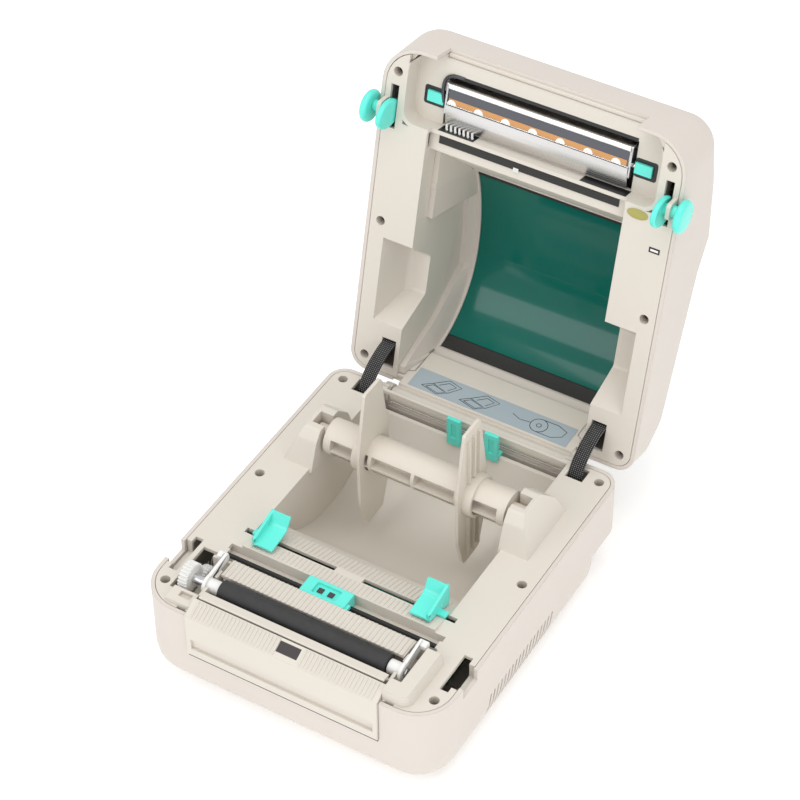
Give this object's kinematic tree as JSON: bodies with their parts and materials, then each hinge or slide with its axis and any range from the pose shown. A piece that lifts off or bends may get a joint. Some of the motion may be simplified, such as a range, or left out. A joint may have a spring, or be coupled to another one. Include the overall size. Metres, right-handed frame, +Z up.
{
  "type": "thermal label printer",
  "caption": "Desktop label printer with its lid open: roll spindle with flanges, platen roller, media guides, tinted window and latches.",
  "frame": {"origin": "on the table under the middle of the base", "axes": "+X to the right, +Y to the rear, where the lid hinges, +Z up"},
  "size_m": [0.212, 0.3415, 0.2746],
  "materials": {
    "shell": "fine grained moulded plastic",
    "deck": "satin moulded plastic",
    "holder": "satin moulded plastic",
    "teal": "translucent coloured plastic",
    "white_plastic": "plain",
    "steel": "ground",
    "head_metal": "bright",
    "head_ceramic": "glazed",
    "rubber": "ground",
    "black_plastic": "satin",
    "window": "clear tinted",
    "sleeve": "braided",
    "screw": "dark plated",
    "board": "solder resist",
    "motor": "black",
    "brass": "cut",
    "label": "plain",
    "lamp": "clear"
  },
  "bodies": {
    "base": {"lower_case": "shell", "base_deck": "deck", "front_cover": "deck", "cover_window": "black_plastic", "tear_bar": "deck", "rubber_feet": "rubber", "deck_screws": "screw", "sensor_rail": "steel", "motor_bracket": "steel", "stepper_motor": "motor", "main_board": "board", "dc_inlet": "black_plastic", "usb_port": "steel", "sleeve_left": "sleeve", "sleeve_right": "sleeve"},
    "lid": {"lid_shell": "shell", "lid_frame": "deck", "lid_window": "window", "window_seals": "black_plastic", "lid_screws": "screw", "upper_sensor": "black_plastic", "lid_label": "label", "seal_label": "label", "lid_sensor": "black_plastic", "head_springs": "steel", "head_clips": "teal", "status_lamp": "lamp", "hinge_pins": "steel"},
    "print_head": {"head_bracket": "head_metal", "head_plate": "head_metal", "head_strip": "head_ceramic", "ribbon_cable": "white_plastic"},
    "latch_left": {"latch_left": "teal"},
    "latch_right": {"latch_right": "teal"},
    "feed_button": {"feed_button": "teal"},
    "power_switch": {"power_switch": "black_plastic"},
    "platen": {"platen_shaft": "steel", "platen_rubber": "rubber", "platen_gear": "white_plastic"},
    "idler": {"idler_gear": "white_plastic"},
    "pinion": {"motor_pinion": "brass"},
    "bushing_left": {"bushing_left": "white_plastic"},
    "bushing_right": {"bushing_right": "white_plastic"},
    "guide_left": {"guide_left": "teal"},
    "guide_right": {"guide_right": "teal"},
    "guide_pinion": {"guide_pinion": "white_plastic"},
    "label_sensor": {"sensor_carriage": "teal", "sensor_eyes": "black_plastic"},
    "spindle": {"spindle": "holder"},
    "flange_left": {"flange_left": "holder"},
    "flange_right": {"flange_right": "holder"},
    "fanfold_left": {"fanfold_left": "teal"},
    "fanfold_right": {"fanfold_right": "teal"}
  },
  "joints": [
    {"name": "lid_hinge", "type": "hinge", "parent": "base", "child": "lid", "pos_m": [0, 0.1146, 0.0565], "axis": [1, 0, 0], "range_deg": [0, 103.4], "deforming": ["sleeve_left", "sleeve_right"]},
    {"name": "head_pivot", "type": "hinge", "parent": "lid", "child": "print_head", "pos_m": [0, 0.18237, 0.24086], "axis": [-1, 0, 0], "range_deg": [0, 1.4], "stiffness_Nm_per_rad": 2},
    {"name": "latch_left_pivot", "type": "hinge", "parent": "lid", "child": "latch_left", "pos_m": [-0.097, 0.16285, 0.23529], "axis": [1, 0, 0], "range_deg": [0, 15], "stiffness_Nm_per_rad": 0.05},
    {"name": "latch_right_pivot", "type": "hinge", "parent": "lid", "child": "latch_right", "pos_m": [0.097, 0.16285, 0.23529], "axis": [1, 0, 0], "range_deg": [0, 15], "stiffness_Nm_per_rad": 0.05},
    {"name": "feed_press", "type": "slide", "parent": "lid", "child": "feed_button", "axis": [0, -0.9902, -0.14], "range_m": [0, 0.0012], "stiffness_N_per_m": 400},
    {"name": "switch_rocker", "type": "hinge", "parent": "base", "child": "power_switch", "pos_m": [0.0545, 0.0869, 0.0198], "axis": [1, 0, 0], "range_deg": [0, 24]},
    {"name": "platen_turn", "type": "hinge", "parent": "base", "child": "platen", "pos_m": [0, -0.086, 0.0675], "axis": [1, 0, 0], "continuous": true},
    {"name": "idler_turn", "type": "hinge", "parent": "base", "child": "idler", "pos_m": [-0.078, -0.0748, 0.0481], "axis": [1, 0, 0], "continuous": true},
    {"name": "pinion_turn", "type": "hinge", "parent": "base", "child": "pinion", "pos_m": [-0.078, -0.06082, 0.03614], "axis": [1, 0, 0], "continuous": true},
    {"name": "bushing_left_turn", "type": "hinge", "parent": "base", "child": "bushing_left", "pos_m": [-0.063, -0.086, 0.0675], "axis": [-1, 0, 0], "range_deg": [-80, 0]},
    {"name": "bushing_right_turn", "type": "hinge", "parent": "base", "child": "bushing_right", "pos_m": [0.063, -0.086, 0.0675], "axis": [-1, 0, 0], "range_deg": [-80, 0]},
    {"name": "guide_right_slide", "type": "slide", "parent": "base", "child": "guide_right", "axis": [-1, 0, 0], "range_m": [0, 0.044]},
    {"name": "guide_left_slide", "type": "slide", "parent": "base", "child": "guide_left", "axis": [1, 0, 0], "range_m": [0, 0.044]},
    {"name": "guide_pinion_turn", "type": "hinge", "parent": "base", "child": "guide_pinion", "pos_m": [0, -0.0375, 0.056], "axis": [0, 0, 1], "range_deg": [0, 620]},
    {"name": "sensor_slide", "type": "slide", "parent": "base", "child": "label_sensor", "axis": [1, 0, 0], "range_m": [-0.045, 0.045]},
    {"name": "spindle_turn", "type": "hinge", "parent": "base", "child": "spindle", "pos_m": [0, 0.0447, 0.079], "axis": [1, 0, 0], "continuous": true},
    {"name": "flange_left_slide", "type": "slide", "parent": "spindle", "child": "flange_left", "axis": [1, 0, 0], "range_m": [-0.018, 0.018]},
    {"name": "flange_right_slide", "type": "slide", "parent": "spindle", "child": "flange_right", "axis": [1, 0, 0], "range_m": [-0.018, 0.018]},
    {"name": "fanfold_left_slide", "type": "slide", "parent": "base", "child": "fanfold_left", "axis": [1, 0, 0], "range_m": [-0.044, 0.0035]},
    {"name": "fanfold_right_slide", "type": "slide", "parent": "base", "child": "fanfold_right", "axis": [1, 0, 0], "range_m": [-0.0035, 0.036]}
  ],
  "couplings": [
    {"joint": "idler_turn", "follows": "platen_turn", "ratio": -0.70588},
    {"joint": "pinion_turn", "follows": "platen_turn", "ratio": 1.7143},
    {"joint": "guide_left_slide", "follows": "guide_right_slide", "ratio": 1},
    {"joint": "guide_pinion_turn", "follows": "guide_right_slide", "rad_per_m": 243.9}
  ]
}
